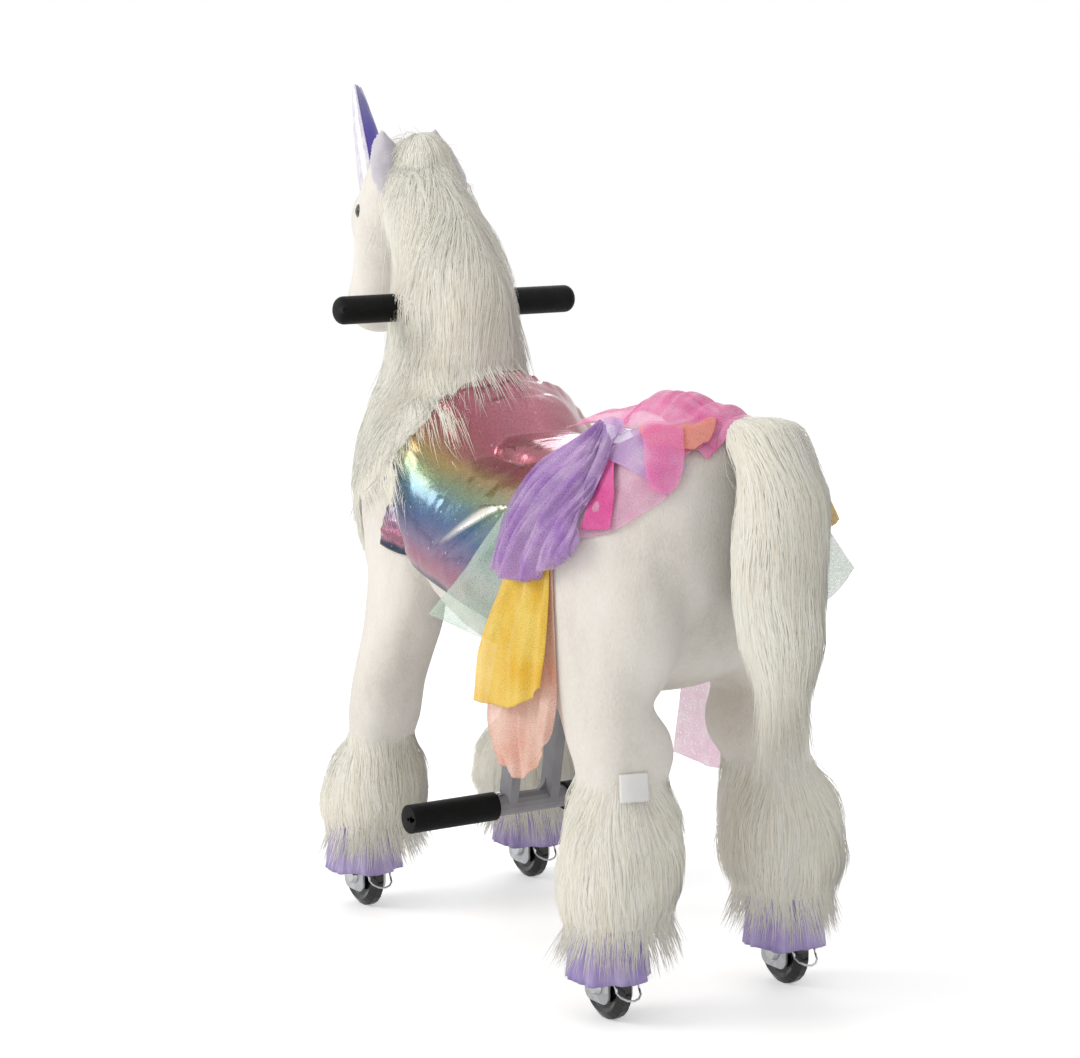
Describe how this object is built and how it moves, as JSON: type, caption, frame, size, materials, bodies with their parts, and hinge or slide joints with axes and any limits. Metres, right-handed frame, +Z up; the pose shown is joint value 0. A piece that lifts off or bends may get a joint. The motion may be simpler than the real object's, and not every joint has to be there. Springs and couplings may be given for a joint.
{
  "type": "plush ride-on animal",
  "caption": "Plush ride-on unicorn with foil saddle, tulle drapes, foam-gripped handlebar and foot bar, wheels under the hooves and legs that swing in a walk.",
  "frame": {"origin": "on the floor under the middle of the bounding box", "axes": "+Z up, -Y towards the animal's nose, +X its left side"},
  "size_m": [0.2946, 0.7851, 0.831],
  "materials": {
    "white_plush": "short cool-white plush pile",
    "long_fur": "long combed cream-white fur",
    "rainbow_foil": "glossy creased foil cloth, rainbow bands",
    "tulle_purple": "sheer tulle",
    "tulle_pink": "sheer tulle",
    "tulle_mint": "sheer tulle",
    "tulle_yellow": "sheer tulle",
    "tulle_peach": "sheer tulle",
    "horn_foil": "metallic foil cloth",
    "ear_velvet": "short velvet",
    "eye_black": "glossy black",
    "cuff_satin": "lavender satin",
    "grip_foam": "matte black foam",
    "tyre_black": "glossy black",
    "zinc_steel": "bright zinc plate",
    "grey_paint": "satin grey powder coat",
    "bright_steel": "bright steel",
    "spring_steel": "oiled spring steel",
    "bronze": "sintered bronze",
    "plywood": "bare plywood",
    "cream_foam": "seat foam"
  },
  "bodies": {
    "seat_frame": {"seat_beam": "grey_paint", "seat_board": "plywood", "seat_foam": "cream_foam", "torso_plush": "white_plush", "saddle": "rainbow_foil", "tail": "long_fur", "torsion_spring": "spring_steel", "steering_bush": "bronze", "tulle_purple": "tulle_purple", "tulle_pink": "tulle_pink", "tulle_mint": "tulle_mint", "tulle_yellow": "tulle_yellow", "tulle_peach": "tulle_peach"},
    "front_end": {"steering_post": "grey_paint", "handlebar": "bright_steel", "left_handle_grip": "grip_foam", "right_handle_grip": "grip_foam", "neck_plush": "white_plush", "head_plush": "white_plush", "left_ear": "ear_velvet", "right_ear": "ear_velvet", "horn": "horn_foil", "left_eye": "eye_black", "right_eye": "eye_black", "mane": "long_fur", "topknot": "long_fur", "chest_plush": "white_plush"},
    "front_legs": {"front_leg_frame": "grey_paint", "front_left_leg_plush": "white_plush", "front_left_hoof_cuff": "cuff_satin", "front_left_wheel_fork": "zinc_steel", "front_left_axle": "bright_steel", "front_left_hair_guard": "bright_steel", "front_right_leg_plush": "white_plush", "front_right_hoof_cuff": "cuff_satin", "front_right_wheel_fork": "zinc_steel", "front_right_axle": "bright_steel", "front_right_hair_guard": "bright_steel"},
    "rear_legs": {"rear_leg_frame": "grey_paint", "rear_left_leg_plush": "white_plush", "rear_left_hoof_cuff": "cuff_satin", "rear_left_wheel_fork": "zinc_steel", "rear_left_axle": "bright_steel", "rear_left_hair_guard": "bright_steel", "rear_right_leg_plush": "white_plush", "rear_right_hoof_cuff": "cuff_satin", "rear_right_wheel_fork": "zinc_steel", "rear_right_axle": "bright_steel", "rear_right_hair_guard": "bright_steel", "left_one_way_bearing": "bronze", "right_one_way_bearing": "bronze"},
    "pedals": {"foot_frame": "grey_paint", "left_foot_grip": "grip_foam", "right_foot_grip": "grip_foam", "foot_bar_screw": "zinc_steel"},
    "drag_link": {"drag_link": "zinc_steel"},
    "front_left_wheel": {"front_left_wheel": "tyre_black"},
    "front_right_wheel": {"front_right_wheel": "tyre_black"},
    "rear_left_wheel": {"rear_left_wheel": "tyre_black"},
    "rear_right_wheel": {"rear_right_wheel": "tyre_black"}
  },
  "joints": [
    {"name": "rear_legs_swing", "type": "hinge", "parent": "seat_frame", "child": "rear_legs", "pos_m": [0, 0.19523, 0.405], "axis": [1, 0, 0], "range_deg": [0, 12], "stiffness_Nm_per_rad": 12, "springref_deg": -34.38},
    {"name": "steering", "type": "hinge", "parent": "seat_frame", "child": "front_end", "pos_m": [0, -0.14077, 0.385], "axis": [0, 0, 1], "range_deg": [-15, 15]},
    {"name": "front_legs_swing", "type": "hinge", "parent": "front_end", "child": "front_legs", "pos_m": [0, -0.14077, 0.385], "axis": [1, 0, 0], "range_deg": [-12, 0]},
    {"name": "foot_frame_swing", "type": "hinge", "parent": "seat_frame", "child": "pedals", "pos_m": [0, 0.12423, 0.3219], "axis": [1, 0, 0], "range_deg": [-12, 0]},
    {"name": "drag_link_pivot", "type": "hinge", "parent": "rear_legs", "child": "drag_link", "pos_m": [0, 0.19523, 0.355], "axis": [1, 0, 0], "range_deg": [-12, 0]},
    {"name": "front_left_wheel_spin", "type": "hinge", "parent": "front_legs", "child": "front_left_wheel", "pos_m": [0.1, -0.20877, 0.032], "axis": [1, 0, 0], "continuous": true},
    {"name": "front_right_wheel_spin", "type": "hinge", "parent": "front_legs", "child": "front_right_wheel", "pos_m": [-0.1, -0.20877, 0.032], "axis": [1, 0, 0], "continuous": true},
    {"name": "rear_left_wheel_spin", "type": "hinge", "parent": "rear_legs", "child": "rear_left_wheel", "pos_m": [0.1, 0.23723, 0.032], "axis": [1, 0, 0], "continuous": true},
    {"name": "rear_right_wheel_spin", "type": "hinge", "parent": "rear_legs", "child": "rear_right_wheel", "pos_m": [-0.1, 0.23723, 0.032], "axis": [1, 0, 0], "continuous": true}
  ],
  "couplings": [
    {"joint": "front_legs_swing", "follows": "rear_legs_swing", "ratio": -1},
    {"joint": "foot_frame_swing", "follows": "rear_legs_swing", "ratio": -1},
    {"joint": "drag_link_pivot", "follows": "rear_legs_swing", "ratio": -1}
  ]
}
